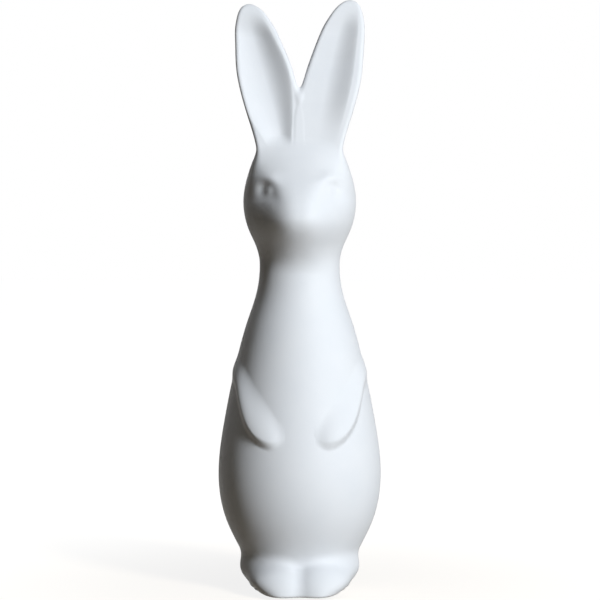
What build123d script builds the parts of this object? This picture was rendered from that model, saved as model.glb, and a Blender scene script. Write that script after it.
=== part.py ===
from build123d import *
import math
import os

# A standing rabbit figurine in slip-cast ceramic. Millimetres, +Z up; the face looks along -Y,
# so the rabbit's own left is +X. Pieces are cast or formed apart and luted together with slip.

# Felt ring glued under the base, drawn in from its edge
FELT_THICKNESS = 1.2
FELT_MARGIN = 1.5
FELT_HOLE_RADIUS = 9.0

# Shell and seams
WALL = 4.0
LUTE_GAP = 0.15

# Torso: radii, each at a rise above the one before, from the foot plane up; hip and waist are drawn in
# from the belly
BASE_RADIUS = 22.5
ANKLE_RISE = 16.3
ANKLE_RADIUS = 26.8
HIP_RISE = 13.8
HIP_TUCK = 3.8
BELLY_RISE = 20.9
BELLY_RADIUS = 37.3
WAIST_RISE = 25.3
WAIST_TUCK = 2.7
CHEST_RISE = 24.3
CHEST_RADIUS = 29.7
COLLAR_RISE = 21.6
COLLAR_RADIUS = 23.9
NECK_RISE = 25.2
NECK_RADIUS = 18.3
END_EASE = 1.3

# Neck joint: a spigot on the torso inside a rebate in the head
SPIGOT_HEIGHT = 5.0
SPIGOT_WALL = 1.8

# Pouring hole in the floor, and the disc that closes it from below against a ledge
POUR_RADIUS = 11.0
LEDGE_WIDTH = 3.0
LEDGE_THICKNESS = 1.5
DISC_THICKNESS = 3.5
DISC_RECESS = 1.0
VENT_RADIUS = 2.5

# Head: half widths, each at a rise above the one before, from the neck seam up
JAW_RISE = 16.3
JAW_HALF_WIDTH = 23.3
CHEEK_RISE = 13.7
CHEEK_HALF_WIDTH = 25.8
BROW_RISE = 13.7
BROW_HALF_WIDTH = 22.9
TEMPLE_RISE = 8.2
TEMPLE_HALF_WIDTH = 19.1
CROWN_RISE = 7.1
CROWN_FLATTENING = 0.14
CROWN_SETBACK = 3.0

# Muzzle: a soft swelling on the front of the head, below the cheek line
MUZZLE_DROP = 6.2
MUZZLE_REACH = 8.5
MUZZLE_SPREAD = 10.0
BRIDGE_SPREAD = 15.0
CHIN_SPREAD = 8.0
MUZZLE_ROUNDNESS = 2.3

# Eyes: angle from the front, rise above the cheek line, half axes of socket and eyeball
EYE_ANGLE = 32.0
EYE_RISE = 4.4
SOCKET_HALF_WIDTH = 4.6
SOCKET_HALF_HEIGHT = 4.4
SOCKET_DEPTH = 1.5
EYEBALL_HALF_WIDTH = 2.9
EYEBALL_HALF_HEIGHT = 3.3
EYEBALL_BULGE = 0.6

# Ears: the root is let down below the top of the crown, the leaf widens, then narrows to the tip
EAR_SEAT = 13.0
EAR_LENGTH = 74.7
LEFT_EAR_EXTRA = 1.8
EAR_ROOT_HALF_WIDTH = 8.5
EAR_HALF_WIDTH = 13.6
EAR_WIDEST_AT = 35.0
EAR_SHOULDER_HALF_WIDTH = 10.5
EAR_SHOULDER_AT = 57.5
TIP_EASE = 0.55
EAR_ROOT_OFFSET = 8.8
EAR_TIP_OFFSET = 23.4
EAR_SPLAY_POWER = 1.28
EAR_ROOT_SETBACK = 0.0
EAR_TIP_SETBACK = 9.0
EAR_ROOT_HALF_THICKNESS = 11.0
EAR_TIP_HALF_THICKNESS = 4.5
SCOOP_SHARE = 1.02
SCOOP_START = 11.5
SCOOP_TIP_MARGIN = 5.5
SCOOP_REACH = 0.86

# Arms: the paw's angle from the front and rise above the belly's widest level, then the turn and rise of
# each stretch from the paw up to the shoulder, and half axes of the section
PAW_ANGLE = 12.8
PAW_RISE = 16.8
WRIST_TURN = 13.7
WRIST_RISE = 6.8
ELBOW_TURN = 28.2
ELBOW_RISE = 17.7
SHOULDER_TURN = 37.0
SHOULDER_RISE = 13.0
ARM_HALF_WIDTH = 5.4
ARM_HALF_THICKNESS = 3.4
ARM_TILT = 22.0

# Feet: half axes and centre of each lobe, which is cut flat at the foot plane
FOOT_HALF_WIDTH = 13.6
FOOT_HALF_LENGTH = 22.5
FOOT_HALF_HEIGHT = 10.4
FOOT_OFFSET = 12.8
FOOT_TUCK = 8.5
FOOT_LIFT = 8.8
TOE_IN = 15.0

# Tail: a ball let into the back, a little below the hip
TAIL_RADIUS = 9.0
TAIL_DROP = 3.1
TAIL_SINK = 3.5

SECTION_POINTS = 36
MIDPLANE = Plane.YZ

hip_radius = BELLY_RADIUS - HIP_TUCK
waist_radius = BELLY_RADIUS - WAIST_TUCK
hip_height = ANKLE_RISE + HIP_RISE
belly_height = hip_height + BELLY_RISE
waist_height = belly_height + WAIST_RISE
chest_height = waist_height + CHEST_RISE
collar_height = chest_height + COLLAR_RISE
neck_height = collar_height + NECK_RISE
cheek_height = JAW_RISE + CHEEK_RISE
brow_height = cheek_height + BROW_RISE
temple_height = brow_height + TEMPLE_RISE
crown_height = temple_height + CROWN_RISE
muzzle_height = cheek_height - MUZZLE_DROP
disc_seat_radius = POUR_RADIUS + LEDGE_WIDTH
floor_thickness = DISC_RECESS + DISC_THICKNESS + LEDGE_THICKNESS

foot_z = FELT_THICKNESS
neck_z = foot_z + neck_height
crown_z = neck_z + crown_height
ear_z = crown_z - EAR_SEAT


def ellipsoid(half_x, half_y, half_z):
    return scale(Sphere(1), by=(half_x, half_y, half_z))


def torso_profile(inset, bottom):
    """Half outline of the torso in the XZ plane, drawn in by the wall when inset."""
    stations = (
        (ANKLE_RADIUS, ANKLE_RISE),
        (hip_radius, hip_height),
        (BELLY_RADIUS, belly_height),
        (waist_radius, waist_height),
        (CHEST_RADIUS, chest_height),
        (COLLAR_RADIUS, collar_height),
        (NECK_RADIUS, neck_height),
    )
    points = [(BASE_RADIUS - inset, 0, bottom)]
    points += [(radius - inset, 0, foot_z + height) for radius, height in stations]
    return Spline(*points, tangents=((0, 0, 1), (0, 0, 1)), tangent_scalars=(END_EASE, END_EASE))


def torso_form(inset=0.0, bottom=foot_z):
    """The torso as a turned solid."""
    side = torso_profile(inset, bottom)
    top = side @ 1
    foot = side @ 0
    outline = side + Polyline(top, (0, 0, top.Z), (0, 0, foot.Z), foot)
    return revolve(make_face(outline), axis=Axis.Z)


def torso_point(angle, height, lift=0.0):
    """A point on the torso, by angle from the front and height, lifted off its surface."""
    side = torso_profile(0.0, foot_z)
    low, high = 0.0, 1.0
    for _ in range(40):
        middle = (low + high) / 2
        if (side @ middle).Z < foot_z + height:
            low = middle
        else:
            high = middle
    radius = (side @ low).X + lift
    turn = math.radians(angle)
    return Vector(radius * math.sin(turn), -radius * math.cos(turn), foot_z + height)


def muzzle_swell(x, height):
    """How far the muzzle stands out in front of the head's oval."""
    rise = height - muzzle_height
    upright = abs(rise) / (BRIDGE_SPREAD if rise > 0 else CHIN_SPREAD)
    across = abs(x) / MUZZLE_SPREAD
    return MUZZLE_REACH * math.exp(-(upright**MUZZLE_ROUNDNESS) - across**MUZZLE_ROUNDNESS)


def head_section(half_width, height):
    """One level of the head: a circle at the neck, flatter and set back towards the crown."""
    share = max(height, 0.0) / crown_height
    ease = share * share * (3 - 2 * share)
    half_depth = half_width * (1 - CROWN_FLATTENING * ease)
    points = []
    for i in range(SECTION_POINTS):
        turn = 2 * math.pi * i / SECTION_POINTS
        x = half_width * math.sin(turn)
        y = -half_depth * math.cos(turn) + CROWN_SETBACK * ease
        if math.cos(turn) > 0:
            y -= muzzle_swell(x, height)
        points.append((x, y, neck_z + height))
    return Face(Wire([Spline(*points, periodic=True)]))


def head_form(inset=0.0):
    """The head as a stack of levels from the neck seam to the crown."""
    stations = (
        (NECK_RADIUS - inset, 0, 0),
        (JAW_HALF_WIDTH - inset, 0, JAW_RISE),
        (CHEEK_HALF_WIDTH - inset, 0, cheek_height),
        (BROW_HALF_WIDTH - inset, 0, brow_height),
        (TEMPLE_HALF_WIDTH - inset, 0, temple_height - inset / 2),
        (0, 0, crown_height - inset),
    )
    side = Spline(*stations, tangents=((0, 0, 1), (-1, 0, 0)))
    levels = 20
    sections = []
    for i in range(levels):
        point = side @ (0.985 * i / (levels - 1))
        sections.append(head_section(point.X, point.Z))
    return loft(sections)


def ear_form(length):
    """An ear on the left side: level oval sections with a scooped front, from the root to the tip."""
    scoop_length = length - SCOOP_TIP_MARGIN - SCOOP_START
    edge = Spline(
        (EAR_ROOT_HALF_WIDTH, 0, 0),
        (EAR_HALF_WIDTH, 0, EAR_WIDEST_AT),
        (EAR_SHOULDER_HALF_WIDTH, 0, EAR_SHOULDER_AT),
        (0, 0, length),
        tangents=((0.2, 0, 1), (-1, 0, 0)),
        tangent_scalars=(1, TIP_EASE),
    )
    sections = []
    levels = 14
    for i in range(levels):
        point = edge @ (0.985 * i / (levels - 1))
        half_width = point.X
        share = point.Z / length
        splay = (EAR_TIP_OFFSET - EAR_ROOT_OFFSET) * share**EAR_SPLAY_POWER
        lean = (EAR_TIP_SETBACK - EAR_ROOT_SETBACK) * share
        taper = (EAR_TIP_HALF_THICKNESS - EAR_ROOT_HALF_THICKNESS) * share
        half_thickness = (EAR_ROOT_HALF_THICKNESS + taper) * math.sqrt(half_width / EAR_HALF_WIDTH)
        along = (point.Z - SCOOP_START) / scoop_length
        scoop = SCOOP_SHARE * half_thickness * math.sin(math.pi * along) ** 0.6 if 0 < along < 1 else 0.0
        points = []
        for j in range(SECTION_POINTS):
            turn = 2 * math.pi * j / SECTION_POINTS
            across = math.cos(turn)
            y = half_thickness * math.sin(turn)
            if y < 0 and abs(across) < SCOOP_REACH:
                y += scoop * (1 - (across / SCOOP_REACH) ** 2) ** 2
            x = EAR_ROOT_OFFSET + splay + half_width * across
            points.append((x, EAR_ROOT_SETBACK + lean + y, ear_z + point.Z))
        sections.append(Face(Wire([Spline(*points, periodic=True)])))
    return loft(sections)


def arm_form():
    """The left arm: a flattened limb laid on the torso from the shoulder to the paw."""
    angle, height = PAW_ANGLE, belly_height + PAW_RISE
    places = [torso_point(angle, height)]
    for turn, rise, sink in (
        (WRIST_TURN, WRIST_RISE, 0),
        (ELBOW_TURN, ELBOW_RISE, 0),
        (SHOULDER_TURN, SHOULDER_RISE, ARM_HALF_WIDTH + ARM_HALF_THICKNESS),
    ):
        angle += turn
        height += rise
        places.append(torso_point(angle, height, -sink))
    path = Spline(*reversed(places))
    sizes = ((0, 1.25), (0.2, 1.25), (0.45, 1.15), (0.7, 1.0), (0.88, 0.9), (0.96, 0.7), (1.0, 0.35))
    sections = []
    for place, size in sizes:
        origin = path @ place
        along = path % place
        outward = Vector(origin.X, origin.Y, 0).normalized()
        across = along.cross(outward)
        plane = Plane(origin, x_dir=across, z_dir=along)
        oval = Ellipse(ARM_HALF_WIDTH * size, ARM_HALF_THICKNESS * size, rotation=ARM_TILT)
        sections.append(plane * oval)
    return loft(sections)


def on_left(shape):
    """What of the shape lies on the rabbit's left of the midplane."""
    return split(shape, bisect_by=MIDPLANE, keep=Keep.TOP)


def above_foot_plane(shape):
    return split(shape, bisect_by=Plane.XY.offset(foot_z), keep=Keep.TOP)


torso_solid = torso_form()
head_solid = head_form()

# Torso: hollow, with a floor ring, the disc's seat under it and the neck spigot on top
torso_cavity = torso_form(WALL, foot_z + floor_thickness)
disc_top = foot_z + DISC_RECESS + DISC_THICKNESS
seat = Pos(0, 0, foot_z) * Cylinder(
    disc_seat_radius, disc_top - foot_z, align=(Align.CENTER, Align.CENTER, Align.MIN)
)
pour_hole = Pos(0, 0, foot_z) * Cylinder(
    POUR_RADIUS, floor_thickness + WALL, align=(Align.CENTER, Align.CENTER, Align.MIN)
)
neck_bore_radius = NECK_RADIUS - WALL
spigot_radius = neck_bore_radius + SPIGOT_WALL
spigot = Pos(0, 0, neck_z) * extrude(Circle(spigot_radius) - Circle(neck_bore_radius), SPIGOT_HEIGHT)
torso_shell = torso_solid - torso_cavity - seat - pour_hole + spigot

# Base disc
disc_blank = Circle(disc_seat_radius - LUTE_GAP) - Circle(VENT_RADIUS)
base_disc = Pos(0, 0, disc_top - DISC_THICKNESS) * extrude(disc_blank, DISC_THICKNESS)

# Felt ring
felt_ring = extrude(Circle(BASE_RADIUS - FELT_MARGIN) - Circle(FELT_HOLE_RADIUS), FELT_THICKNESS)

# Eyes: each socket is carved where a line from the head's axis meets its surface
eye_turn = math.radians(EYE_ANGLE)
eye_line = Axis((0, 0, neck_z + cheek_height + EYE_RISE), (math.sin(eye_turn), -math.cos(eye_turn), 0))
eye_hits = head_solid.find_intersection_points(eye_line)
eye_point, eye_normal = max(eye_hits, key=lambda hit: hit[0].X)
eye_plane = Plane(eye_point, x_dir=eye_normal.cross(Vector(0, 0, 1)) * -1, z_dir=eye_normal)
socket = eye_plane * ellipsoid(SOCKET_HALF_WIDTH, SOCKET_HALF_HEIGHT, SOCKET_DEPTH)
eyeball = ellipsoid(EYEBALL_HALF_WIDTH, EYEBALL_HALF_HEIGHT, SOCKET_DEPTH + EYEBALL_BULGE)
left_eye = eye_plane.offset(-SOCKET_DEPTH) * eyeball - (head_solid - socket)

# Head: hollow, with the rebate for the spigot
rebate = Pos(0, 0, neck_z) * Cylinder(
    spigot_radius + LUTE_GAP, SPIGOT_HEIGHT + LUTE_GAP, align=(Align.CENTER, Align.CENTER, Align.MIN)
)
head_shell = head_solid - head_form(WALL) - rebate - socket - mirror(socket, about=MIDPLANE)

# Limbs, ears and tail, each trimmed to the form that it is luted on
left_ear = on_left(ear_form(EAR_LENGTH + LEFT_EAR_EXTRA)) - head_solid
right_ear = mirror(on_left(ear_form(EAR_LENGTH)) - head_solid, about=MIDPLANE)
left_arm = arm_form() - torso_solid
foot_lobe = Rot(0, 0, -TOE_IN) * ellipsoid(FOOT_HALF_WIDTH, FOOT_HALF_LENGTH, FOOT_HALF_HEIGHT)
foot_lobe = Pos(FOOT_OFFSET, FOOT_TUCK - BASE_RADIUS, foot_z + FOOT_LIFT) * foot_lobe
left_foot = above_foot_plane(on_left(foot_lobe)) - torso_solid
tail_centre = torso_point(180.0, hip_height - TAIL_DROP, -TAIL_SINK)
tail = Pos(tail_centre) * Sphere(TAIL_RADIUS) - torso_solid

nodes = {
    "torso_shell": torso_shell,
    "head_shell": head_shell,
    "base_disc": base_disc,
    "felt_ring": felt_ring,
    "tail": tail,
    "left_ear": left_ear,
    "right_ear": right_ear,
}
for name, piece in (("arm", left_arm), ("foot", left_foot), ("eye", left_eye)):
    nodes["left_" + name] = piece
    nodes["right_" + name] = mirror(piece, about=MIDPLANE)

os.makedirs("parts", exist_ok=True)
for name, piece in nodes.items():
    export_step(piece, "parts/" + name + ".step")
    box = piece.bounding_box()
    print(name, round(piece.volume, 1), piece.is_valid, box.min, box.max)
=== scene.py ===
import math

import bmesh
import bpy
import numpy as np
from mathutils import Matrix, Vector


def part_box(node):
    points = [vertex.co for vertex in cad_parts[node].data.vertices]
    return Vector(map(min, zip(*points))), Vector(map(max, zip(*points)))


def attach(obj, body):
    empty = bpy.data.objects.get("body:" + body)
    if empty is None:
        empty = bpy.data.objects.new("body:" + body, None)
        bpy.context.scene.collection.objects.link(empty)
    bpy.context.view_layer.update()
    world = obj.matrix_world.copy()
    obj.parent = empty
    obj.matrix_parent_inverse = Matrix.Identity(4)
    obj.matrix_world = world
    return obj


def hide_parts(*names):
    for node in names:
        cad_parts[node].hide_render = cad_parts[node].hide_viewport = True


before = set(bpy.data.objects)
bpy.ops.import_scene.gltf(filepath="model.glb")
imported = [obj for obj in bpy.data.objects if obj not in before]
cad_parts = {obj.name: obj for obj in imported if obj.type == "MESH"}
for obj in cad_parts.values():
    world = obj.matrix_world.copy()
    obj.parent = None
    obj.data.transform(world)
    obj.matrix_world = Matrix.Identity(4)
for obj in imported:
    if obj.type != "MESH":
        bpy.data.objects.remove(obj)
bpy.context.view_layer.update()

# %% [markdown]
# # A white rabbit in slip-cast ceramic
# This lesson gives a packed rabbit figurine its finished look. The solids come from CAD: a turned torso, a
# head, two ears, two arms, two feet, a tail, two eyeballs, a base disc and a felt ring. On the real object
# the pieces are cast or pressed apart, luted together with wet slip, smoothed with a damp sponge and then
# covered by one coat of matte glaze. So the look that we want has no seams: limbs swell out of the body,
# ears flow into the crown, and every crease has a small soft radius.
#
# The method follows the material. We describe the clay as a field, a number at each point of space that is
# negative in the clay, positive in the air and zero on the surface. Fields can be blended softly, as wet
# clay is. Then we turn the zero level into a mesh. All fields are in millimetres, on the CAD's own axes: up
# is +Z, the face looks along -Y, and the rabbit's left is +X.

import openvdb
from mathutils import Vector

MM = 0.001

# %% [markdown]
# ## Measure the solids
# The look has to fit the solids, so the first step is to measure them. A level cut gives the points where a
# solid's edges cross one height. From the cuts come half widths, and a smooth curve through them gives a
# half width at any height. The curve is a natural cubic spline: it has no bend at its two ends, and it runs
# on straight beyond them.

# %% Level cuts
edge_ends = {}


def level(node, height):
    """The points where a solid's edges cross one height, in millimetres."""
    if node not in edge_ends:
        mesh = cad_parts[node].data
        corners = np.empty(3 * len(mesh.vertices), np.float32)
        mesh.vertices.foreach_get("co", corners)
        pairs = np.empty(2 * len(mesh.edges), np.int32)
        mesh.edges.foreach_get("vertices", pairs)
        edge_ends[node] = corners.reshape(-1, 3)[pairs.reshape(-1, 2)].astype(float) / MM
    a, b = edge_ends[node][:, 0], edge_ends[node][:, 1]
    crosses = (a[:, 2] - height) * (b[:, 2] - height) < 0
    a, b = a[crosses], b[crosses]
    share = (height - a[:, 2]) / (b[:, 2] - a[:, 2])
    return a + share[:, None] * (b - a)


def box_mm(node):
    low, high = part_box(node)
    return np.array(low) / MM, np.array(high) / MM


foot_z = box_mm("torso_shell")[0][2]
neck_z = box_mm("head_shell")[0][2]
crown_z = box_mm("head_shell")[1][2]
print("foot plane, neck seam and crown in mm:", round(foot_z, 1), round(neck_z, 1), round(crown_z, 1))


# %% Smooth curves
class Curve:
    """A natural cubic spline through (place, value) stations."""

    def __init__(self, stations):
        self.t, self.v = np.array(stations, float).T
        gap = np.diff(self.t)
        rise = np.diff(self.v) / gap
        matrix = np.eye(len(self.t))
        right = np.zeros(len(self.t))
        for i in range(1, len(self.t) - 1):
            matrix[i, i - 1 : i + 2] = gap[i - 1], 2 * (gap[i - 1] + gap[i]), gap[i]
            right[i] = 6 * (rise[i] - rise[i - 1])
        self.bend = np.linalg.solve(matrix, right)

    def value_and_slope(self, t):
        inside = np.clip(t, self.t[0], self.t[-1])
        i = np.clip(np.searchsorted(self.t, inside) - 1, 0, len(self.t) - 2)
        gap = self.t[i + 1] - self.t[i]
        b = (inside - self.t[i]) / gap
        a = 1 - b
        value = a * self.v[i] + b * self.v[i + 1]
        value = value + ((a**3 - a) * self.bend[i] + (b**3 - b) * self.bend[i + 1]) * gap**2 / 6
        slope = (self.v[i + 1] - self.v[i]) / gap
        slope = slope + ((3 * b**2 - 1) * self.bend[i + 1] - (3 * a**2 - 1) * self.bend[i]) * gap / 6
        return value + slope * (t - inside), slope

    def __call__(self, t):
        return self.value_and_slope(t)[0]


def ease(t):
    """A soft step: 0 up to 0, 1 from 1, and level at both ends."""
    t = np.clip(t, 0, 1)
    return t * t * (3 - 2 * t)


print("a curve through 0, 1 and 0 has, half way up,", round(float(Curve([(0, 0), (1, 1), (2, 0)])(0.5)), 3))

# %% [markdown]
# ## The trunk: torso and head as one turned form
# The torso is turned, and the head begins as a circle at the neck, so one outline serves both. The curve
# holds the half width squared, which falls to zero in a straight line at the top of a dome, where the half
# width itself would drop like a cliff. The cuts keep clear of the flat ends of the two solids.

# %% The trunk's outline
torso_cuts, head_cuts = 30, 18
above_foot, below_seam, above_seam, below_crown, dome_height = 0.05, 0.5, 3.0, 1.0, 0.15

outline = []
for height in np.linspace(foot_z + above_foot, neck_z - below_seam, torso_cuts):
    outline.append((height, np.hypot(*level("torso_shell", height)[:, :2].T).max() ** 2))
for height in np.linspace(neck_z + above_seam, crown_z - below_crown, head_cuts):
    outline.append((height, np.abs(level("head_shell", height)[:, 0]).max() ** 2))
outline.append((crown_z + dome_height, 0.0))
width_squared = Curve(outline)
print("widest half width in mm:", round(math.sqrt(max(v for _, v in outline)), 2))

# %% [markdown]
# Towards the crown the head gets flatter from front to back and sits a little further back. Its front isn't
# round: a power over 2 fills the oval's corners, a little at the cheeks and more at the broad brow, and the
# forehead leans back above the eyes. Each change begins at one height and is complete some way above it.

# %% The head's cross-section
crown_flattening, crown_setback = 0.14, 3.0
cheek_fullness, cheek_from, cheek_over = 0.4, neck_z + 8.0, 22.0
brow_fullness, brow_from, brow_over = 2.7, 178.0, 22.0
forehead_share, forehead_from, forehead_over = 0.8, 190.0, 9.0
forehead_lean, lean_from, lean_over = 0.15, 176.0, 26.0
round_power = 2.0


def head_share(z):
    """0 at the neck seam and below, 1 at the crown, with soft ends."""
    return ease((z - neck_z) / (crown_z - neck_z))


def front_power(z):
    """2 for a round front; more for the fuller cheeks and the broad brow."""
    cheeks = cheek_fullness * ease((z - cheek_from) / cheek_over)
    forehead = forehead_share * ease((z - forehead_from) / forehead_over)
    return round_power + cheeks + brow_fullness * (ease((z - brow_from) / brow_over) + forehead)


powers = [round(float(front_power(z)), 2) for z in (brow_from, crown_z)]
print("the front's power under the brow and at the crown:", powers)

# %% [markdown]
# ## The muzzle
# The muzzle is a broad swelling on the front of the head. Above its middle it runs up into the bridge of
# the nose, so its spread is larger there than towards the chin. Below, it fades into the throat and gets
# narrower.

# %% Muzzle
muzzle_z, muzzle_reach, muzzle_half_width, muzzle_power = 169.1, 12.4, 17.0, 2.5
bridge_height, bridge_power = 24.5, 1.6
throat_z, throat_narrowing = 144.5, 0.3


def muzzle(x, z):
    """How far the muzzle stands out from the front of the head, in millimetres."""
    bridge = np.exp(-((np.maximum(z - muzzle_z, 0) / bridge_height) ** bridge_power))
    chin = ease((z - throat_z) / (muzzle_z - throat_z))
    half_width = muzzle_half_width * (1 - throat_narrowing * (1 - chin))
    return muzzle_reach * bridge * chin * np.exp(-((np.abs(x) / half_width) ** muzzle_power))


print("the muzzle stands out by", round(float(muzzle(0.0, muzzle_z)), 2), "mm")

# %% [markdown]
# ## The arms
# The arms are low reliefs, as if a soft roll of clay had been pressed on the belly and its upper side wiped
# smooth. Across the arm the relief rises slowly from above, has its crest low down, and drops in a soft
# step to the belly. Along the arm it grows from nothing at the shoulder to the rounded paw. Angles are
# measured in degrees around the torso from the front, and both arms share one function, because it reads the
# distance from the midplane.

# %% Arm relief
paw_turn, side_turn, shoulder_turn = 11, 90, 105
step_run_out = 0.3
arm_lower = Curve([
    (paw_turn, 70.0), (15, 68.4), (19, 67.5), (25, 67.8), (37, 72.0),
    (50, 80.7), (61, 90.0), (75, 95.0), (side_turn, 97.0),
])
arm_upper = Curve([
    (paw_turn, 78.5), (15, 80.0), (23, 85.5), (36, 93.6), (56, 103.0), (75, 107.5), (side_turn, 109.0),
])
arm_crest = Curve([(paw_turn, 0.3), (23, 0.22), (37, 0.22), (50, 0.34), (61, 0.36), (side_turn, 0.4)])
arm_height = Curve([
    (paw_turn, 0.0), (14, 0.35), (19, 1.5), (26, 2.5), (37, 2.9),
    (50, 2.5), (61, 1.9), (75, 1.2), (side_turn, 0.7), (shoulder_turn, 0.0),
])


def arm_relief(x, y, z):
    """How far the arms stand out from the torso, in millimetres."""
    turn = np.clip(np.degrees(np.arctan2(np.abs(x), -y)), paw_turn, shoulder_turn)
    place = np.minimum(turn, side_turn)
    low = arm_lower(place)
    share = (z - low) / np.maximum(arm_upper(place) - low, 1.0)
    crest = arm_crest(place)
    under = ease((share / crest + step_run_out) / (1 + step_run_out))
    upper = 1 - ease((share - crest) / (1 - crest))
    return np.clip(arm_height(turn), 0, None) * under * upper


wrist = arm_relief(15.0, -31.0, np.arange(65, 90, 0.1))
print("arm crest at the wrist stands out by", round(float(wrist.max()), 2), "mm")

# %% [markdown]
# ## The eyes
# Each eye is a small pellet of clay seated in a shallow socket under the brow. A sculptor presses and adds
# clay in soft dabs, and so do we: each dab is a bump or a hollow on the front of the head, with a place, a
# half width, a half height and a turn. Both eyes share the dabs, because they read the distance from the
# midplane, which is rounded off at the midplane itself to leave no crease there.

# %% Eye dabs
midline_round = 2.0
eye_dabs = {
    # height, from the midplane, above the floor, half width, half height, turn
    "brow": (1.9, 13.7, 187.8, 4.8, 3.4, 0.13),
    "socket": (-2.1, 15.2, 183.5, 4.2, 3.65, -1.0),
    "inner groove": (-0.7, 13.1, 181.3, 2.75, 5.4, -0.64),
    "eyeball": (1.36, 14.3, 182.5, 2.05, 2.35, 0.23),
    "cheek hollow": (-1.0, 18.0, 179.6, 6.5, 5.8, 0.6),
}


def eyes(x, z):
    """How far the skin stands out around the eyes, in millimetres."""
    shape = 0.0
    for height, middle_x, middle_z, half_width, half_height, turn in eye_dabs.values():
        side = np.sqrt(x * x + midline_round) - middle_x
        rise = z - middle_z
        across = side * math.cos(turn) + rise * math.sin(turn)
        along = rise * math.cos(turn) - side * math.sin(turn)
        shape = shape + height * np.exp(-((across / half_width) ** 2) - (along / half_height) ** 2)
    return shape


_, eye_x, eye_z, *_ = eye_dabs["eyeball"]
print("the skin at the eyeball's middle moves by", round(float(eyes(eye_x, eye_z)), 2), "mm")

# %% [markdown]
# ## The trunk's field
# An oval's measure minus the outline's square tells inside from outside. Divided by how fast it grows, it is
# close to a distance in millimetres, which is what soft blends need. Muzzle and eyes move the front forward,
# and the arms widen the outline where they lie.

# %% Trunk field
def trunk(x, y, z):
    """Distance to the torso and head, in millimetres."""
    share = head_share(z)
    depth = y - crown_setback * share
    lean = np.where(depth < 0, forehead_lean * ease((z - lean_from) / lean_over), 0.0)
    flat = 1 - crown_flattening * share - lean
    depth = np.where(depth < 0, np.minimum(depth + muzzle(x, z) + eyes(x, z), -1e-6), depth)
    squared, slope = width_squared.value_and_slope(z)
    relief = arm_relief(x, y, z)
    swollen = squared + relief * (2 * np.sqrt(np.maximum(squared, 0)) + relief)
    power = np.where(depth < 0, front_power(z), round_power)
    oval = (np.abs(x) ** power + np.abs(depth / flat) ** power) ** (2 / power)
    steepness = np.sqrt(4 * oval + slope**2)
    return (oval - swollen) / np.maximum(steepness, 1.0)


def gradient(field, points, reach=0.02):
    """The direction in which a field grows, at each of many points."""
    grown = []
    for axis in range(3):
        step = np.zeros(3)
        step[axis] = reach
        grown.append(field(*(points + step).T) - field(*(points - step).T))
    return np.stack(grown, 1) / (2 * reach)


def settle(field, points, rounds=4, longest=0.5):
    """Moves points along the gradient until they lie on the surface."""
    for _ in range(rounds):
        grown = gradient(field, points)
        size = np.maximum((grown**2).sum(1), 0.05)
        move = np.clip(field(*points.T) / size, -longest, longest)
        points = points - move[:, None] * grown
    return points


in_front = float(trunk(0.0, -40.0, 110.0))
print("a point 40 mm in front of the axis is", round(in_front, 1), "mm from the chest")

# %% [markdown]
# ## The ears
# An ear is a leaf of solid clay with a flat plate in front and a rounded back. The plate's rim is rounded
# where it meets the side; behind it, each level section is half an oval. The axis leans outwards and back.
# The half width is measured on the CAD ear, from the axis to the outer edge, and again the curve holds its
# square, so that the tip closes in a round. Near the root, where the crown hides the edge, and in the last
# millimetres below the tip, half widths are listed. Under the notch between the ears, the inner sides
# of the two roots overlap, so that they fuse into one strip.
#
# A thumb pressed into soft clay leaves a scoop. It is described by its lowest line, by the crest where it
# meets the rim, and by how steep it gets between the two; beyond the lowest line it runs out over a longer
# way. The two scoops differ, as they do on a piece shaped by hand: the right one is deep beside its inner
# rim, and the left one is shallow, open towards the middle, and starts from a plate that stands forward.

# %% Ear sizes
ear_root_z = 194.6
ear_root_x, ear_tip_x, splay_power = 8.8, 23.4, 1.28
ear_root_y, ear_tip_y = -11.0, 9.5
ear_root_thick, ear_tip_thick = 21.0, 4.5
ear_inset = 0.5
rim_round, rim_power = 2.6, 2.6
notch_z, overlap_over, root_overlap = 236.0, 22.0, 3.0
widths_above_root = ((-10, 0.0), (0, 9.6), (7, 10.1))
widths_below_tip = ((18, 10.7), (12, 9.4), (7.3, 7.6), (2.75, 5.0), (0, 0.0))
edge_cuts, edge_above_crown, edge_below_tip = 8, 4, 30
bowl_power, bowl_steepest = 1.5, 1.5
forward_loss, loss_from, loss_over = 0.75, 222.0, 22.0
scoop_below_tip, tip_over = 2.0, 14.0
lean_back, lean_out = ear_tip_y - ear_root_y, ear_tip_x - ear_root_x
print("an ear leans back by", round(lean_back, 1), "mm and out by", round(lean_out, 1), "mm")


# %% Ear field
def soft_min(a, b, size):
    """The smaller of two fields, with the crease between them filled by a round of this size."""
    return np.minimum(a, b) - np.maximum(size - np.abs(a - b), 0) ** 2 / (4 * size)


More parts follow.
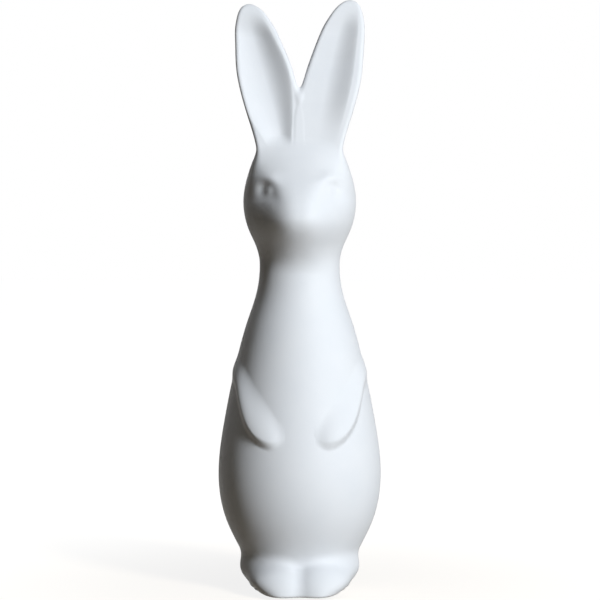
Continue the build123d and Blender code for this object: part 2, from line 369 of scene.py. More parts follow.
class Ear:
    """One ear as a field, on the left side of the midplane."""

    def __init__(self, node, side, length, scoop):
        self.length, self.scoop = length, scoop
        tip_z = box_mm(node)[1][2]
        stations = [(ear_root_z + above, half_width**2) for above, half_width in widths_above_root]
        for height in np.linspace(crown_z + edge_above_crown, tip_z - edge_below_tip, edge_cuts):
            edge = (side * level(node, height)[:, 0]).max()
            stations.append((height, (edge - ear_inset - self.axis(height)[0]) ** 2))
        for below, half_width in widths_below_tip:
            stations.append((tip_z - below, half_width**2))
        self.width_squared = Curve(stations)
        self.widest = math.sqrt(max(v for _, v in stations))

    def axis(self, z):
        """The plate's middle line at a height, and the height as a share of the ear's length."""
        share = np.clip((z - ear_root_z) / self.length, 0.0, 1.1)
        middle_x = ear_root_x + (ear_tip_x - ear_root_x) * share**splay_power
        return middle_x, ear_root_y + (ear_tip_y - ear_root_y) * share, share

    def __call__(self, x, y, z):
        middle_x, middle_y, share = self.axis(z)
        squared, slope = self.width_squared.value_and_slope(z)
        width = np.sqrt(np.maximum(squared, 0.2))
        fullness = np.sqrt(width / self.widest)
        across = x - middle_x
        dish = self.dish(across / width, z, share) * width
        depth = y - middle_y - dish
        overlap = np.where(across < 0, root_overlap * ease((notch_z - z) / overlap_over), 0.0)
        reach, reach_squared = width + overlap, squared + overlap * (2 * width + overlap)
        thick = (ear_root_thick + (ear_tip_thick - ear_root_thick) * share) * fullness
        front = self.plate(across, depth, reach_squared, slope, rim_round * fullness)
        rear = self.back(across, depth, reach, reach_squared, slope, thick, dish)
        return np.where(depth < 0, front, rear)

    def plate(self, across, depth, reach_squared, slope, rim):
        """Distance to the front half: a plate with a rounded rim."""
        beside = (across**2 - reach_squared) / np.maximum(np.sqrt(4 * across**2 + slope**2), 1.0) + rim
        corner = np.maximum(beside, 0) ** rim_power + np.maximum(-depth, 0) ** rim_power
        return corner ** (1 / rim_power) - rim + np.minimum(np.maximum(beside, -depth), 0)

    def back(self, across, depth, reach, reach_squared, slope, thick, dish):
        """Distance to the rear half: half an oval, which the scoop leaves where it is."""
        oval_share = np.sqrt(np.clip(1 - (across / reach) ** 2, 0.15, 1))
        stretch = reach / np.maximum(thick - dish / oval_share, 1.0)
        measure = across**2 + (depth * stretch) ** 2 - reach_squared
        growth = np.sqrt(4 * across**2 + (2 * depth * stretch**2) ** 2 + slope**2)
        return measure / np.maximum(growth, 1.0)

    def dish(self, place, z, share):
        """How far the scoop sets the front back, as a share of the ear's half width."""
        scoop = self.scoop
        lowest = scoop["lowest"](share)
        span = scoop["crest"](share) - lowest
        away = (place - lowest) / span
        away = np.where(away > 0, away, away / scoop["open side"])
        forward = scoop["forward"] * (1 - forward_loss * ease((z - loss_from) / loss_over))
        bowl = np.clip(1 - away**2, 0, 1) ** bowl_power - forward
        foot_end = ease((z - scoop["foot"]) / scoop["run-out"])
        tip_end = ease((ear_root_z + self.length - scoop_below_tip - z) / tip_over)
        return scoop["steepness"] * np.abs(span) / bowl_steepest * bowl * foot_end * tip_end


# %% The two ears
def steady(value):
    return Curve([(0, value), (1, value)])


left_ear = Ear("left_ear", 1, 76.5, {
    "lowest": steady(-0.19), "crest": steady(0.7), "steepness": 0.52,
    "open side": 4.0, "forward": 0.93, "foot": 197.0, "run-out": 36.0,
})
right_ear = Ear("right_ear", -1, 74.7, {
    "lowest": Curve([(0, -0.23), (1, 0.33)]),
    "crest": Curve([(0, -0.52), (0.2, -0.66), (0.65, -0.84), (0.84, -0.72), (1, -0.6)]),
    "steepness": 0.64, "open side": 1.6, "forward": 0.0, "foot": 200.5, "run-out": 8.0,
})
print("ear half widths in mm:", round(left_ear.widest, 2), round(right_ear.widest, 2))

# %% [markdown]
# ## Feet and tail
# Each foot is two balls of clay pressed into ovals: a round toe in front, and a flatter heel that swells out
# at the side. The toe is wider on its outer side, and there its sole is drawn in towards the floor, as a
# thumb would round off the lower edge. The tail is a ball let into the back. For an oval there is no exact
# distance, but dividing by how fast the oval's own measure grows comes close enough for soft blends.

# %% Feet and tail fields
toe_centre, toe_half = (8.0, -22.0, foot_z - 1.0), (17.2, 14.4, 15.0)
toe_inner_half = 15.0
heel_centre, heel_half = (13.0, -5.0, foot_z + 10.2), (14.2, 15.0, 9.4)
sole_rise, sole_inset = 10.0, 8.5
toe_heel_blend = 9.0
tail_radius, tail_rise = 9.0, 27.0
tail_high = box_mm("tail")[1]
tail_centre = np.array([0.0, tail_high[1] - tail_radius, foot_z + tail_rise])


def ellipsoid(x, y, z, centre, half):
    """Close to a distance: an oval's measure divided by how fast it grows."""
    a, b, c = ((v - m) / h for v, m, h in zip((x, y, z), centre, half))
    size = np.sqrt(a * a + b * b + c * c)
    growth = np.sqrt((a / half[0]) ** 2 + (b / half[1]) ** 2 + (c / half[2]) ** 2)
    return (size - 1) * size / np.maximum(growth, 0.01)


def foot(x, y, z):
    """The left foot: a round toe in front and a heel that swells out at the side."""
    inset = sole_inset * (1 - np.clip((z - foot_z) / sole_rise, 0, 1)) ** 2
    half_width = np.where(x > toe_centre[0], toe_half[0] - inset, toe_inner_half)
    toe = ellipsoid(x, y, z, toe_centre, (half_width, *toe_half[1:]))
    return soft_min(toe, ellipsoid(x, y, z, heel_centre, heel_half), toe_heel_blend)


def tail(x, y, z):
    return np.sqrt(x**2 + (y - tail_centre[1]) ** 2 + (z - tail_centre[2]) ** 2) - tail_radius


toe_front = toe_centre[1] - toe_half[1]
print("toes reach y =", round(toe_front, 1), "mm, tail reaches y =", round(tail_high[1], 1), "mm")

# %% [markdown]
# ## Blend the clay
# Where two fields meet, a plain minimum would leave a knife-sharp crease. The soft minimum fills the crease
# with a round, as a damp sponge does, and its size is chosen for each joint: broad where the feet meet
# the torso, small round the sole. The two ears are almost unblended on the strip that they share, because
# a blend of two fields that lie flush would swell it; above, in the notch, they get a proper round.

# %% Soft blends
feet_blend, torso_blend, tail_blend, sole_blend = 3.0, 4.5, 3.0, 1.4
crown_blend, strip_blend, notch_blend = 2.4, 0.4, 2.6
notch_from, notch_over = 221.0, 6.0


def body_field(x, y, z):
    """Torso with arms, feet and tail, flat on the foot plane."""
    feet = soft_min(foot(x, y, z), foot(-x, y, z), feet_blend)
    clay = soft_min(trunk(x, y, z), feet, torso_blend)
    clay = soft_min(clay, tail(x, y, z), tail_blend)
    return -soft_min(-clay, z - foot_z, sole_blend)


def head_field(x, y, z):
    """Head with eyes and both ears."""
    between = strip_blend + (notch_blend - strip_blend) * ease((z - notch_from) / notch_over)
    ears = soft_min(left_ear(x, y, z), right_ear(-x, y, z), between)
    return soft_min(trunk(x, y, z), ears, crown_blend)


print("field at the belly's centre and in the air:",
      round(float(body_field(0.0, 0.0, 50.0)), 1), round(float(body_field(0.0, -60.0, 50.0)), 1))

# %% [markdown]
# ## From field to mesh
# A grid of values goes into a volume, the volume's zero level becomes quads, and every corner is then moved
# along the gradient until it lies on the surface to a few thousandths of a millimetre. Cuts by planes part
# the skin into the pieces that a potter would handle: body, head and two ears. Each cut is closed by a cap.
# The corner normals come straight from the field, so light runs over a cut as if it weren't there.

# %% Mesh tools
voxel_scale = 1.0
band = 3.0


def skin_mesh(field, low, high, voxel):
    """A bmesh of a field's zero level inside a box, with its corners on the surface."""
    voxel = voxel * voxel_scale
    low = np.array(low, float)
    counts = np.ceil((np.array(high) - low) / voxel).astype(int) + 1
    x, y, z = (low[i] + voxel * np.arange(counts[i]) for i in range(3))
    values = field(x[:, None, None], y[None, :, None], z[None, None, :])
    volume = openvdb.FloatGrid(band)
    volume.copyFromArray(np.ascontiguousarray(np.clip(values, -band, band).astype(np.float32)))
    points, quads = volume.convertToQuads(0.0)
    points = settle(field, low + points.astype(float) * voxel, longest=voxel)
    skin = bmesh.new()
    corners = [skin.verts.new(p) for p in points]
    for quad in quads:
        skin.faces.new([corners[i] for i in quad])
    return skin


def cut(skin, place, away, close=True):
    """Removes what lies beyond a plane and closes the cut with a cap."""
    geometry = skin.verts[:] + skin.edges[:] + skin.faces[:]
    made = bmesh.ops.bisect_plane(
        skin, geom=geometry, dist=1e-5, plane_co=place, plane_no=away, clear_outer=True
    )
    rim = [e for e in made["geom_cut"] if isinstance(e, bmesh.types.BMEdge)]
    if close:
        for face in bmesh.ops.edgeloop_fill(skin, edges=rim)["faces"]:
            face.material_index = 1
    return rim


def finish_piece(skin, field, name, material):
    """Turns a bmesh into an object in metres, with normals from the field except on its caps."""
    bmesh.ops.recalc_face_normals(skin, faces=skin.faces[:])
    mesh = bpy.data.meshes.new(name)
    skin.to_mesh(mesh)
    skin.free()
    points = np.empty(3 * len(mesh.vertices))
    mesh.vertices.foreach_get("co", points)
    points = points.reshape(-1, 3)
    slopes = gradient(field, points)
    slopes = slopes / np.maximum(np.linalg.norm(slopes, axis=1), 1e-9)[:, None]
    normals = np.empty((len(mesh.loops), 3))
    for face in mesh.polygons:
        for loop in face.loop_indices:
            corner = mesh.loops[loop].vertex_index
            normals[loop] = face.normal if face.material_index else slopes[corner]
    for face in mesh.polygons:
        face.use_smooth = True
        face.material_index = 0
    mesh.vertices.foreach_set("co", (points * MM).ravel())
    mesh.normals_split_custom_set(normals)
    mesh.materials.append(material)
    piece = bpy.data.objects.new(name, mesh)
    bpy.context.scene.collection.objects.link(piece)
    mesh.calc_loop_triangles()
    print(name, "has", len(mesh.loop_triangles), "triangles")
    return piece


print("grid steps are multiplied by", voxel_scale)

# %% [markdown]
# ## The finishes
# Three surfaces show: matte white glaze, bare fired clay under the base, and pressed wool felt. Two effects
# are common to them, so each is a node group with its own values in every material. Tone drift lets the
# colour wander a little between two shades, as glaze of uneven thickness or mixed wool does. Fine grain is
# a small unevenness that goes to the bump and to the roughness.

# %% Shared effects
def new_group(name, inputs, outputs):
    group = bpy.data.node_groups.new(name, "ShaderNodeTree")
    for kind, label in inputs:
        group.interface.new_socket(label, in_out="INPUT", socket_type=kind)
    for kind, label in outputs:
        group.interface.new_socket(label, in_out="OUTPUT", socket_type=kind)
    return group, group.nodes.new("NodeGroupInput"), group.nodes.new("NodeGroupOutput")


def tone_drift_group():
    group, given, result = new_group(
        "Tone drift",
        [("NodeSocketVector", "Vector"), ("NodeSocketFloat", "Scale"),
         ("NodeSocketColor", "Main colour"), ("NodeSocketColor", "Other colour")],
        [("NodeSocketColor", "Colour")],
    )
    link = group.links.new
    cloud = group.nodes.new("ShaderNodeTexNoise")
    cloud.inputs["Detail"].default_value = 3.0
    link(given.outputs["Vector"], cloud.inputs["Vector"])
    link(given.outputs["Scale"], cloud.inputs["Scale"])
    spread = group.nodes.new("ShaderNodeMapRange")
    spread.inputs["From Min"].default_value = 0.35
    spread.inputs["From Max"].default_value = 0.7
    link(cloud.outputs["Fac"], spread.inputs["Value"])
    mix = group.nodes.new("ShaderNodeMix")
    mix.data_type = "RGBA"
    link(spread.outputs["Result"], mix.inputs["Factor"])
    link(given.outputs["Main colour"], mix.inputs[6])
    link(given.outputs["Other colour"], mix.inputs[7])
    link(mix.outputs[2], result.inputs["Colour"])
    return group


def fine_grain_group():
    group, given, result = new_group(
        "Fine grain",
        [("NodeSocketVector", "Vector"), ("NodeSocketFloat", "Scale"),
         ("NodeSocketFloat", "Smoothest"), ("NodeSocketFloat", "Roughest")],
        [("NodeSocketFloat", "Height"), ("NodeSocketFloat", "Roughness")],
    )
    link = group.links.new
    grain = group.nodes.new("ShaderNodeTexNoise")
    grain.inputs["Detail"].default_value = 5.0
    grain.inputs["Roughness"].default_value = 0.6
    link(given.outputs["Vector"], grain.inputs["Vector"])
    link(given.outputs["Scale"], grain.inputs["Scale"])
    link(grain.outputs["Fac"], result.inputs["Height"])
    spread = group.nodes.new("ShaderNodeMapRange")
    spread.inputs["From Min"].default_value = 0.3
    spread.inputs["From Max"].default_value = 0.7
    link(grain.outputs["Fac"], spread.inputs["Value"])
    link(given.outputs["Smoothest"], spread.inputs["To Min"])
    link(given.outputs["Roughest"], spread.inputs["To Max"])
    link(spread.outputs["Result"], result.inputs["Roughness"])
    return group


tone_drift = tone_drift_group()
fine_grain = fine_grain_group()
print("shared effects:", tone_drift.name, "and", fine_grain.name)

# %% [markdown]
# One function builds each finish from the two effects. Patterns read Object coordinates in metres, so a
# scale of 1000 makes marks about a millimetre wide. The glaze keeps a soft sheen at a middling roughness,
# bare clay is chalky, and felt is rougher still with a little sheen from its fibre ends.

# %% Three materials
def surface(name, main, other, drift, grain, smoothest, roughest, bump, distance):
    """A material: two colours and how finely they drift, a grain, its roughness, and its height."""
    material = bpy.data.materials.new(name)
    material.use_nodes = True
    nodes, link = material.node_tree.nodes, material.node_tree.links.new
    shader = nodes["Principled BSDF"]
    place = nodes.new("ShaderNodeTexCoord")
    tone = nodes.new("ShaderNodeGroup")
    tone.node_tree = tone_drift
    tone.inputs["Scale"].default_value = drift
    tone.inputs["Main colour"].default_value = (*main, 1)
    tone.inputs["Other colour"].default_value = (*other, 1)
    fine = nodes.new("ShaderNodeGroup")
    fine.node_tree = fine_grain
    fine.inputs["Scale"].default_value = grain
    fine.inputs["Smoothest"].default_value = smoothest
    fine.inputs["Roughest"].default_value = roughest
    lift = nodes.new("ShaderNodeBump")
    lift.inputs["Strength"].default_value = bump
    lift.inputs["Distance"].default_value = distance
    link(place.outputs["Object"], tone.inputs["Vector"])
    link(place.outputs["Object"], fine.inputs["Vector"])
    link(tone.outputs["Colour"], shader.inputs["Base Color"])
    link(fine.outputs["Roughness"], shader.inputs["Roughness"])
    link(fine.outputs["Height"], lift.inputs["Height"])
    link(lift.outputs["Normal"], shader.inputs["Normal"])
    return material, shader


glaze, glaze_shader = surface(
    "matte_white_glaze", main=(0.82, 0.83, 0.85), other=(0.79, 0.805, 0.83), drift=45.0, grain=900.0,
    smoothest=0.46, roughest=0.58, bump=0.06, distance=0.2 * MM,
)
bare_clay, _ = surface(
    "bare_fired_clay", main=(0.72, 0.68, 0.61), other=(0.62, 0.57, 0.50), drift=120.0, grain=1600.0,
    smoothest=0.8, roughest=0.95, bump=0.35, distance=0.3 * MM,
)
felt, felt_shader = surface(
    "wool_felt", main=(0.62, 0.61, 0.58), other=(0.42, 0.41, 0.39), drift=900.0, grain=2500.0,
    smoothest=0.85, roughest=1.0, bump=0.6, distance=0.4 * MM,
)
glaze_shader.inputs["Specular IOR Level"].default_value = 0.12
felt_shader.inputs["Sheen Weight"].default_value = 0.25
print("materials:", [m.name for m in (glaze, bare_clay, felt)])

# %% [markdown]
# ## The body piece
# Torso, arms, feet and tail share one skin under the glaze, so they are one mesh. It is cut off level at the
# neck seam. Under the base, the flat ring around the seat of the base disc is built in steps: from the rim of
# the foot plane in to the seat, then up the seat's wall to its ceiling.

# %% Make the body
body_voxel = 0.68
body_low, body_high = (-40.5, -40.5, foot_z - 3), (40.5, 41.0, neck_z + 3)
seat_gap = 0.15
seat_radius = box_mm("base_disc")[1][0] + seat_gap
seat_top = box_mm("base_disc")[1][2]
base_cut = foot_z + 0.04

body_skin = skin_mesh(body_field, body_low, body_high, body_voxel)
cut(body_skin, (0, 0, neck_z), (0, 0, 1))
rim = cut(body_skin, (0, 0, base_cut), (0, 0, -1), close=False)


def ring_edges(skin, radius, height, count=96):
    """A level circle of edges."""
    turns = [2 * math.pi * i / count for i in range(count)]
    corners = [skin.verts.new((radius * math.cos(t), radius * math.sin(t), height)) for t in turns]
    return [skin.edges.new((corners[i - 1], corners[i])) for i in range(count)]


seat_mouth = ring_edges(body_skin, seat_radius, base_cut)
seat_ceiling = ring_edges(body_skin, seat_radius, seat_top)
under = bmesh.ops.bridge_loops(body_skin, edges=rim + seat_mouth)["faces"]
under += bmesh.ops.bridge_loops(body_skin, edges=seat_mouth + seat_ceiling)["faces"]
under += bmesh.ops.edgeloop_fill(body_skin, edges=seat_ceiling)["faces"]
for face in under:
    face.material_index = 1
body = finish_piece(body_skin, body_field, "torso_with_limbs", glaze)

# %% [markdown]
# ## Head and ears
# The head takes a finer grid than the body, because the eyes are small. The ears leave the head at a level
# cut just under the crown, and part from each other at the midplane.

# %% Make the head and the ears
head_voxel, ear_voxel = 0.42, 0.45
ear_cut = 203.5
spare = 2.0
head_low, head_high = (-28.5, -39.0, neck_z - spare), (28.5, 28.5, ear_cut + spare)
ear_front, ear_rear = -16.0, 18.0

head_skin = skin_mesh(head_field, head_low, head_high, head_voxel)
cut(head_skin, (0, 0, neck_z), (0, 0, -1))
cut(head_skin, (0, 0, ear_cut), (0, 0, 1))
head = finish_piece(head_skin, head_field, "head", glaze)

ears = []
for name, side, node in (("left_ear_leaf", 1, "left_ear"), ("right_ear_leaf", -1, "right_ear")):
    low, high = box_mm(node)
    outer = max(abs(low[0]), abs(high[0])) + spare
    near, far = sorted((-spare * side, side * outer))
    ear_low, ear_high = (near, ear_front, ear_cut - spare), (far, ear_rear, high[2] + spare)
    ear_skin = skin_mesh(head_field, ear_low, ear_high, ear_voxel)
    cut(ear_skin, (0, 0, ear_cut), (0, 0, -1))
    cut(ear_skin, (0, 0, 0), (-side, 0, 0))
    ears.append(finish_piece(ear_skin, head_field, name, glaze))

# %% [markdown]
# ## Base disc and felt ring
# A potter closes the pouring hole with a disc of clay that has a vent hole, and a felt ring keeps the base
# from scratching a shelf. Both are turned rings, so one Geometry Nodes tree makes them: a rounded rectangle
# swept around a circle. The felt also gets short fibres, scattered with a fixed seed over its surface and
# leaning at random; none grow from the underside, and none reach below it. The disc has none. The tree ends
# with real geometry and a material, and the result is kept as a plain mesh.

# %% The swept ring
ring_steps, edge_steps = 128, 4


def math_node(tree, operation, first, second):
    """The result of a math node on two values; the second may be a plain number."""
    node = tree.nodes.new("ShaderNodeMath")
    node.operation = operation
    tree.links.new(first, node.inputs[0])
    if isinstance(second, float):
        node.inputs[1].default_value = second
    else:
        tree.links.new(second, node.inputs[1])
    return node.outputs[0]


def swept_ring(tree, given):
    """A rounded rectangle swept around a circle, at its height."""
    link, value = tree.links.new, given.outputs
    inner, outer, bottom, top = (value[label] for label in ("Inner radius", "Outer radius", "Bottom", "Top"))
    circle = tree.nodes.new("GeometryNodeCurvePrimitiveCircle")
    circle.inputs["Resolution"].default_value = ring_steps
    both_radii = math_node(tree, "ADD", inner, outer)
    link(math_node(tree, "MULTIPLY", both_radii, 0.5), circle.inputs["Radius"])
    section = tree.nodes.new("GeometryNodeCurvePrimitiveQuadrilateral")
    link(math_node(tree, "SUBTRACT", outer, inner), section.inputs["Width"])
    link(math_node(tree, "SUBTRACT", top, bottom), section.inputs["Height"])
    rounded = tree.nodes.new("GeometryNodeFilletCurve")
    rounded.mode = "POLY"
    rounded.inputs["Count"].default_value = edge_steps
    link(section.outputs["Curve"], rounded.inputs["Curve"])
    link(value["Edge radius"], rounded.inputs["Radius"])
    sweep = tree.nodes.new("GeometryNodeCurveToMesh")
    link(circle.outputs["Curve"], sweep.inputs["Curve"])
    link(rounded.outputs["Curve"], sweep.inputs["Profile Curve"])
    lift = tree.nodes.new("ShaderNodeCombineXYZ")
    both_heights = math_node(tree, "ADD", bottom, top)
    link(math_node(tree, "MULTIPLY", both_heights, 0.5), lift.inputs["Z"])
    placed = tree.nodes.new("GeometryNodeTransform")
    link(sweep.outputs["Mesh"], placed.inputs["Geometry"])
    link(lift.outputs["Vector"], placed.inputs["Translation"])
    return placed.outputs["Geometry"]


print("a ring is swept in", ring_steps, "steps, and each of its edges is rounded in", edge_steps)

# %% Fibres and the flat underside
fibre_sides, fibre_radius = 3, 0.04 * MM
fibre_tilt, fibre_turn = 1.2, 3.1
facing_down = -0.5


def fibres(tree, given, ring):
    """Thin cones planted on the ring, except on its underside, each leaning its own way."""
    link, value = tree.links.new, given.outputs
    scatter = tree.nodes.new("GeometryNodeDistributePointsOnFaces")
    link(ring, scatter.inputs["Mesh"])
    link(value["Fibre density"], scatter.inputs["Density"])
    link(value["Seed"], scatter.inputs["Seed"])
    facing = tree.nodes.new("ShaderNodeSeparateXYZ")
    link(tree.nodes.new("GeometryNodeInputNormal").outputs["Normal"], facing.inputs["Vector"])
    link(math_node(tree, "GREATER_THAN", facing.outputs["Z"], facing_down), scatter.inputs["Selection"])
    fibre = tree.nodes.new("GeometryNodeMeshCone")
    fibre.inputs["Vertices"].default_value = fibre_sides
    fibre.inputs["Radius Bottom"].default_value = fibre_radius
    link(value["Fibre length"], fibre.inputs["Depth"])
    lean = tree.nodes.new("FunctionNodeRandomValue")
    lean.data_type = "FLOAT_VECTOR"
    lean.inputs[0].default_value = (-fibre_tilt, -fibre_tilt, -fibre_turn)
    lean.inputs[1].default_value = (fibre_tilt, fibre_tilt, fibre_turn)
    link(value["Seed"], lean.inputs["Seed"])
    turn = tree.nodes.new("FunctionNodeRotateRotation")
    turn.rotation_space = "LOCAL"
    link(scatter.outputs["Rotation"], turn.inputs["Rotation"])
    link(lean.outputs[0], turn.inputs["Rotate By"])
    planted = tree.nodes.new("GeometryNodeInstanceOnPoints")
    link(scatter.outputs["Points"], planted.inputs["Points"])
    link(fibre.outputs["Mesh"], planted.inputs["Instance"])
    link(turn.outputs["Rotation"], planted.inputs["Rotation"])
    return planted.outputs["Instances"]


def pressed_flat(tree, geometry, bottom):
    """Nothing reaches below the ring's own underside."""
    link = tree.links.new
    place = tree.nodes.new("ShaderNodeSeparateXYZ")
    link(tree.nodes.new("GeometryNodeInputPosition").outputs["Position"], place.inputs["Vector"])
    raised = tree.nodes.new("ShaderNodeCombineXYZ")
    link(place.outputs["X"], raised.inputs["X"])
    link(place.outputs["Y"], raised.inputs["Y"])
    link(math_node(tree, "MAXIMUM", place.outputs["Z"], bottom), raised.inputs["Z"])
    pressed = tree.nodes.new("GeometryNodeSetPosition")
    link(geometry, pressed.inputs["Geometry"])
    link(raised.outputs["Vector"], pressed.inputs["Position"])
    return pressed.outputs["Geometry"]


print("fibres are", round(2 * fibre_radius / MM, 2), "mm thick at the root")

# %% The ring tree
def ring_tree():
    tree = bpy.data.node_groups.new("Turned ring", "GeometryNodeTree")
    sizes = ("Inner radius", "Outer radius", "Bottom", "Top", "Edge radius", "Fibre density", "Fibre length")
    for label in sizes:
        tree.interface.new_socket(label, in_out="INPUT", socket_type="NodeSocketFloat")
    tree.interface.new_socket("Seed", in_out="INPUT", socket_type="NodeSocketInt")
    tree.interface.new_socket("Material", in_out="INPUT", socket_type="NodeSocketMaterial")
    tree.interface.new_socket("Geometry", in_out="OUTPUT", socket_type="NodeSocketGeometry")
    link = tree.links.new
    given = tree.nodes.new("NodeGroupInput")
    ring = swept_ring(tree, given)
    joined = tree.nodes.new("GeometryNodeJoinGeometry")
    link(ring, joined.inputs["Geometry"])
    link(fibres(tree, given, ring), joined.inputs["Geometry"])
    real = tree.nodes.new("GeometryNodeRealizeInstances")
    link(joined.outputs["Geometry"], real.inputs["Geometry"])
    painted = tree.nodes.new("GeometryNodeSetMaterial")
    flat = pressed_flat(tree, real.outputs["Geometry"], given.outputs["Bottom"])
    link(flat, painted.inputs["Geometry"])
    link(given.outputs["Material"], painted.inputs["Material"])
    result = tree.nodes.new("NodeGroupOutput")
    link(painted.outputs["Geometry"], result.inputs["Geometry"])
    return tree


turned_ring = ring_tree()
print("the ring tree has", len(turned_ring.nodes), "nodes")

# %% Make the disc and the felt ring
def turned_piece(name, values):
    """Runs the ring tree with these values and keeps the result as a plain mesh."""
    carrier = bpy.data.objects.new(name, bpy.data.meshes.new(name))
    bpy.context.scene.collection.objects.link(carrier)
    modifier = carrier.modifiers.new("ring", "NODES")
    modifier.node_group = turned_ring
    for item in turned_ring.interface.items_tree:
        if item.in_out == "INPUT":
            modifier[item.identifier] = values[item.name]
    bpy.context.view_layer.update()
    seen = carrier.evaluated_get(bpy.context.evaluated_depsgraph_get())
    mesh = bpy.data.meshes.new_from_object(seen)
    carrier.modifiers.clear()
    carrier.data = mesh
    mesh.name = name
    tidy = bmesh.new()
    tidy.from_mesh(mesh)
    bmesh.ops.remove_doubles(tidy, verts=tidy.verts[:], dist=1e-7)
    bmesh.ops.recalc_face_normals(tidy, faces=tidy.faces[:])
    tidy.to_mesh(mesh)
    tidy.free()
    corners = np.array([v.co for v in mesh.vertices]) / MM
    print(name, "box in mm:", np.round(corners.min(0), 2), np.round(corners.max(0), 2))
    return carrier


vent_radius, felt_hole_radius = 2.5 * MM, 9.0 * MM
disc_low, disc_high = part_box("base_disc")
felt_low, felt_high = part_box("felt_ring")
disc = turned_piece("base_disc_plate", {
    "Inner radius": vent_radius, "Outer radius": disc_high.x, "Bottom": disc_low.z, "Top": disc_high.z,
    "Edge radius": 0.4 * MM, "Fibre density": 0.0, "Fibre length": 0.1 * MM, "Seed": 1, "Material": bare_clay,
})
pad = turned_piece("felt_pad_ring", {
    "Inner radius": felt_hole_radius, "Outer radius": felt_high.x, "Bottom": felt_low.z, "Top": felt_high.z,
    "Edge radius": 0.25 * MM, "Fibre density": 6.0e5, "Fibre length": 0.7 * MM, "Seed": 7, "Material": felt,
})

# %% [markdown]
# ## Tie the pieces to the solids
# Nothing moves on this object, so every piece rides on the one body. Each piece names the solids it stands
# for, and those solids are hidden.

# %% Ride and replace
for piece, solids, finish in (
    (body, ("torso_shell", "left_arm", "right_arm", "left_foot", "right_foot", "tail"), "glazed_ceramic"),
    (head, ("head_shell", "left_eye", "right_eye"), "glazed_ceramic"),
    (ears[0], ("left_ear",), "glazed_ceramic"),
    (ears[1], ("right_ear",), "glazed_ceramic"),
    (disc, ("base_disc",), "bare_ceramic"),
    (pad, ("felt_ring",), "felt"),
):
    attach(piece, "root")
    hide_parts(*solids)
    print(piece.name, "stands for", ", ".join(solids))

# %% [markdown]
# ## Floor and background
# The object stands on a floor before white. To the light that falls on the object, the floor is a dull
# brown and the room is dim and warm; so what comes from the shaded side is weak and warm, and the left of
# the body, as the camera sees it, falls into a brown shade. What the camera sees directly, in gloss or
# through glass is white instead: the floor has a glow for those rays, a little weaker near the object, and
# the object's shadow stays in it.

# %% Floor and world
floor_brown = (0.26, 0.215, 0.16, 1)
glow_from, glow_to, glow_near, glow_far = 0.03, 0.25, 0.86, 1.0
room_colour, room_strength = (1.0, 0.78, 0.52, 1), 0.008


def seen_share(tree):
    """1 for rays from the camera, and in gloss and glass; 0 for the light on the object."""
    path = tree.nodes.new("ShaderNodeLightPath").outputs
    camera_or_gloss = math_node(tree, "MAXIMUM", path["Is Camera Ray"], path["Is Glossy Ray"])
    return math_node(tree, "MAXIMUM", camera_or_gloss, path["Is Transmission Ray"])


def pale_floor():
    """Brown to the light, white to the camera."""
    look = bpy.data.materials.new("pale_floor")
    look.use_nodes = True
    tree = look.node_tree
    nodes, link = tree.nodes, tree.links.new
    nodes.clear()
    dull = nodes.new("ShaderNodeBsdfDiffuse")
    dull.inputs["Color"].default_value = floor_brown
    distance = nodes.new("ShaderNodeVectorMath")
    distance.operation = "LENGTH"
    link(nodes.new("ShaderNodeTexCoord").outputs["Object"], distance.inputs[0])
    fade = nodes.new("ShaderNodeMapRange")
    fade.interpolation_type = "SMOOTHSTEP"
    limits = {"From Min": glow_from, "From Max": glow_to, "To Min": glow_near, "To Max": glow_far}
    for label, value in limits.items():
        fade.inputs[label].default_value = value
    link(distance.outputs["Value"], fade.inputs["Value"])
    glow = nodes.new("ShaderNodeEmission")
    link(math_node(tree, "MULTIPLY", seen_share(tree), fade.outputs["Result"]), glow.inputs["Strength"])
    both = nodes.new("ShaderNodeAddShader")
    link(dull.outputs[0], both.inputs[0])
    link(glow.outputs[0], both.inputs[1])
    link(both.outputs[0], nodes.new("ShaderNodeOutputMaterial").inputs["Surface"])
    return look


def white_world():
    """Dim and warm to the light, white to the camera."""
    world = bpy.data.worlds.new("studio")
    world.use_nodes = True
    tree = world.node_tree
    nodes, link = tree.nodes, tree.links.new
    nodes.clear()
    choose = nodes.new("ShaderNodeMixShader")
    link(seen_share(tree), choose.inputs[0])
    for place, colour, strength in ((1, room_colour, room_strength), (2, (1, 1, 1, 1), 1.0)):
        background = nodes.new("ShaderNodeBackground")
        background.inputs["Color"].default_value = colour
        background.inputs["Strength"].default_value = strength
        link(background.outputs[0], choose.inputs[place])
    link(choose.outputs[0], nodes.new("ShaderNodeOutputWorld").inputs["Surface"])
    return world


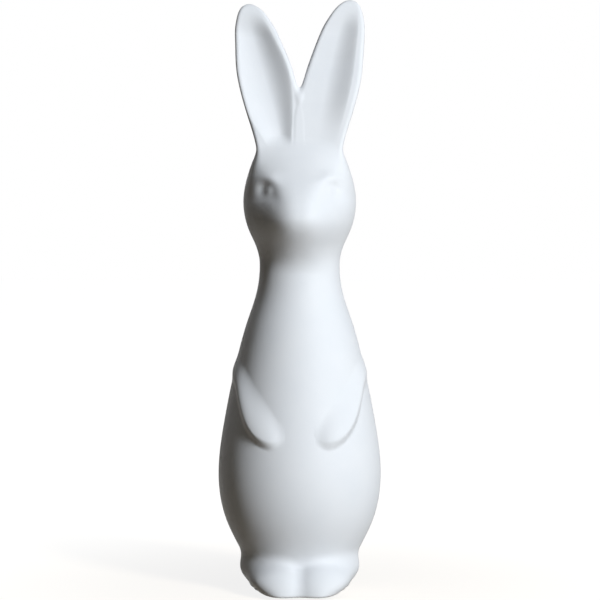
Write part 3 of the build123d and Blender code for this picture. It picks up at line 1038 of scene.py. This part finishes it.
floor_mesh = bpy.data.meshes.new("floor")
floor_mesh.from_pydata([(-3, -3, 0), (3, -3, 0), (3, 6, 0), (-3, 6, 0)], [], [(0, 1, 2, 3)])
floor_mesh.materials.append(pale_floor())
floor = bpy.data.objects.new("floor", floor_mesh)
bpy.context.scene.collection.objects.link(floor)
bpy.context.scene.world = white_world()
print("floor of", floor_mesh.polygons[0].area, "square metres, white behind it")

# %% [markdown]
# ## Light
# A tall, narrow lamp stands in front and to the right, like a window. Its height softens the shade under
# the chin and the belly, and its small width keeps the edge of the shade on the body short.
# A weak, broad lamp above is the light of the sky. Both have the cool white of daylight.

# %% Lamps
aim = Vector((0, 0, 0.135))
daylight = (0.905, 0.955, 1.0)


def lamp(name, azimuth, elevation, distance, width, height, power):
    """A soft lamp, placed by its angle from the front (right is positive) and its height angle."""
    light = bpy.data.lights.new(name, "AREA")
    light.shape = "RECTANGLE"
    light.size = width
    light.size_y = height
    light.energy = power
    light.color = daylight
    bulb = bpy.data.objects.new(name, light)
    a, e = math.radians(azimuth), math.radians(elevation)
    offset = Vector((math.sin(a) * math.cos(e), -math.cos(a) * math.cos(e), math.sin(e)))
    bulb.location = aim + distance * offset
    bulb.rotation_euler = offset.to_track_quat("Z", "Y").to_euler()
    bpy.context.scene.collection.objects.link(bulb)
    print(name, "at", [round(v, 2) for v in bulb.location], "with", power, "W")


lamp("window", azimuth=37, elevation=16, distance=1.5, width=0.25, height=1.1, power=25.8)
lamp("skylight", azimuth=10, elevation=72, distance=1.2, width=0.8, height=0.8, power=1.6)

# %% [markdown]
# ## Camera
# The photograph is taken from the front, a little above the middle of the object and tipped down by less
# than two degrees, with a long lens: the image is 600 by 600 and the focal length is about 2180 of its
# pixels.

# %% Camera and colour handling
image_side, focal_pixels, sensor_width = 600, 2180.6, 36.0
camera_place, camera_tip = (0.00015, -1.0, 0.165), 1.847

camera_data = bpy.data.cameras.new("camera")
camera_data.sensor_width = sensor_width
camera_data.lens = sensor_width * focal_pixels / image_side
camera = bpy.data.objects.new("camera", camera_data)
camera.location = camera_place
camera.rotation_euler = (math.radians(90 - camera_tip), 0, 0)
bpy.context.scene.collection.objects.link(camera)
bpy.context.scene.camera = camera
bpy.context.scene.view_settings.view_transform = "Standard"
print("lens of", round(camera_data.lens, 1), "mm")
